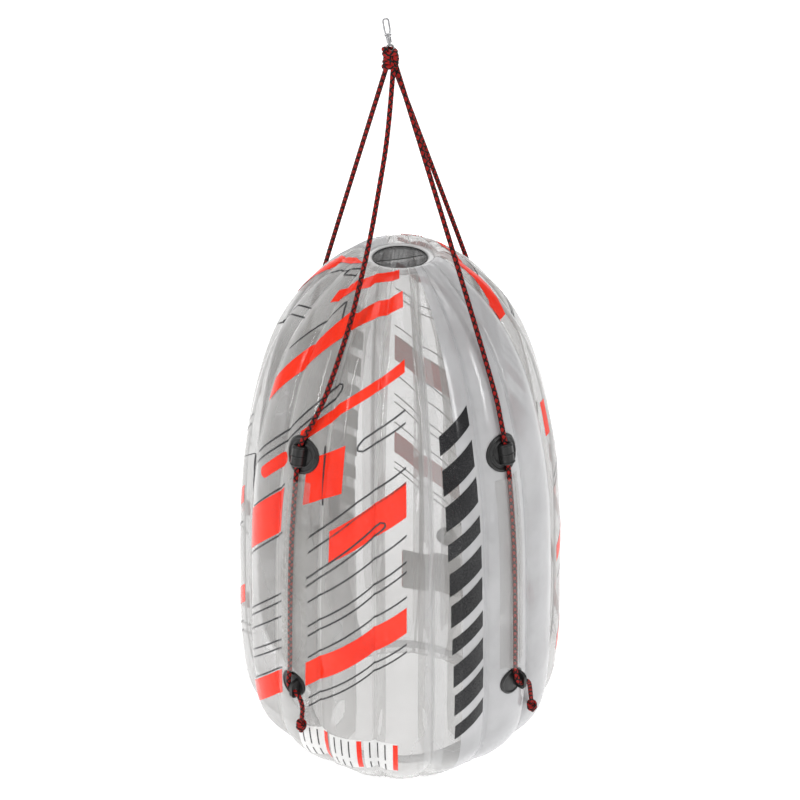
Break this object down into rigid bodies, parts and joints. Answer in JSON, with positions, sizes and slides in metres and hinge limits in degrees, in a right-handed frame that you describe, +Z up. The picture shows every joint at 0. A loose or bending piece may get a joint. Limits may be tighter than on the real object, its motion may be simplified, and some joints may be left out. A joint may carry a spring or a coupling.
{
  "type": "towable tube",
  "caption": "Fluted clear inflatable towable capsule with an open tunnel through it, a meshed nose opening and a four-legged rope harness gathered under a swivel.",
  "frame": {"origin": "middle of the ring of lobe crests on which the wide, open end stands", "axes": "+Z up along the tube from its wide end to its nose and harness; -Y is the front, midway between the two front harness pads; +X is the right-hand side seen from the front"},
  "size_m": [0.8908, 0.9002, 2.0669],
  "materials": {
    "printed_film": "glossy, slightly wrinkled",
    "clear_film": "clear, glossy",
    "welded_film": "milky where two films are welded",
    "net": "open woven net",
    "edge_cord": "matt",
    "pad_rubber": "satin moulded",
    "rope": "black braid with red flecks",
    "stainless": "polished stainless",
    "valve_plastic": "satin moulded",
    "valve_pin": "plain",
    "webbing": "woven",
    "grip_foam": "matt foam"
  },
  "bodies": {
    "tube": {"skin_front_left": "printed_film", "skin_front_right": "printed_film", "skin_right": "printed_film", "skin_back_right": "printed_film", "skin_back_left": "printed_film", "skin_left": "printed_film", "tunnel_liner": "clear_film", "nose_liner": "clear_film", "baffles_a": "clear_film", "baffles_b": "clear_film", "baffles_c": "clear_film", "mouth_weld_ring": "welded_film", "nose_collar": "welded_film", "nose_mesh": "net", "mesh_edge_cord": "edge_cord", "weld_strip_front": "welded_film", "weld_strip_back": "welded_film", "upper_pad_front_left": "pad_rubber", "upper_pad_front_right": "pad_rubber", "upper_pad_back_right": "pad_rubber", "upper_pad_back_left": "pad_rubber", "lower_pad_front_left": "pad_rubber", "lower_pad_front_right": "pad_rubber", "lower_pad_back_right": "pad_rubber", "lower_pad_back_left": "pad_rubber", "rope_sleeve_front_left": "clear_film", "rope_sleeve_front_right": "clear_film", "rope_sleeve_back_right": "clear_film", "rope_sleeve_back_left": "clear_film", "harness_rope_front_left": "rope", "harness_rope_front_right": "rope", "harness_rope_back_right": "rope", "harness_rope_back_left": "rope", "stopper_knot_front_left": "rope", "stopper_knot_front_right": "rope", "stopper_knot_back_right": "rope", "stopper_knot_back_left": "rope", "apex_knot": "rope", "swivel_eye": "stainless", "valve_base": "valve_plastic", "valve_hinge_pin": "valve_pin", "valve_flap": "valve_plastic", "handle_patches_right": "pad_rubber", "handle_patches_left": "pad_rubber", "handle_webbing_right": "webbing", "handle_webbing_left": "webbing", "handle_grip_right": "grip_foam", "handle_grip_left": "grip_foam"},
    "swivel": {"swivel_cup": "stainless", "bail_pin": "stainless"},
    "bail": {"tow_bail": "stainless"},
    "cap": {"valve_cap": "valve_plastic"}
  },
  "joints": [
    {"name": "swivel_spin", "type": "hinge", "parent": "tube", "child": "swivel", "pos_m": [-0.023, 0, 1.995], "axis": [-0.1564, 0, 0.9877], "continuous": true},
    {"name": "tow_bail_swing", "type": "hinge", "parent": "swivel", "child": "bail", "pos_m": [-0.02808, 0, 2.0271], "axis": [0.9877, 0, 0.1564], "range_deg": [-85, 85]},
    {"name": "valve_cap_hinge", "type": "hinge", "parent": "tube", "child": "cap", "pos_m": [0.15814, 0.43449, 0.353], "axis": [0.9397, -0.342, 0], "range_deg": [0, 150]}
  ]
}
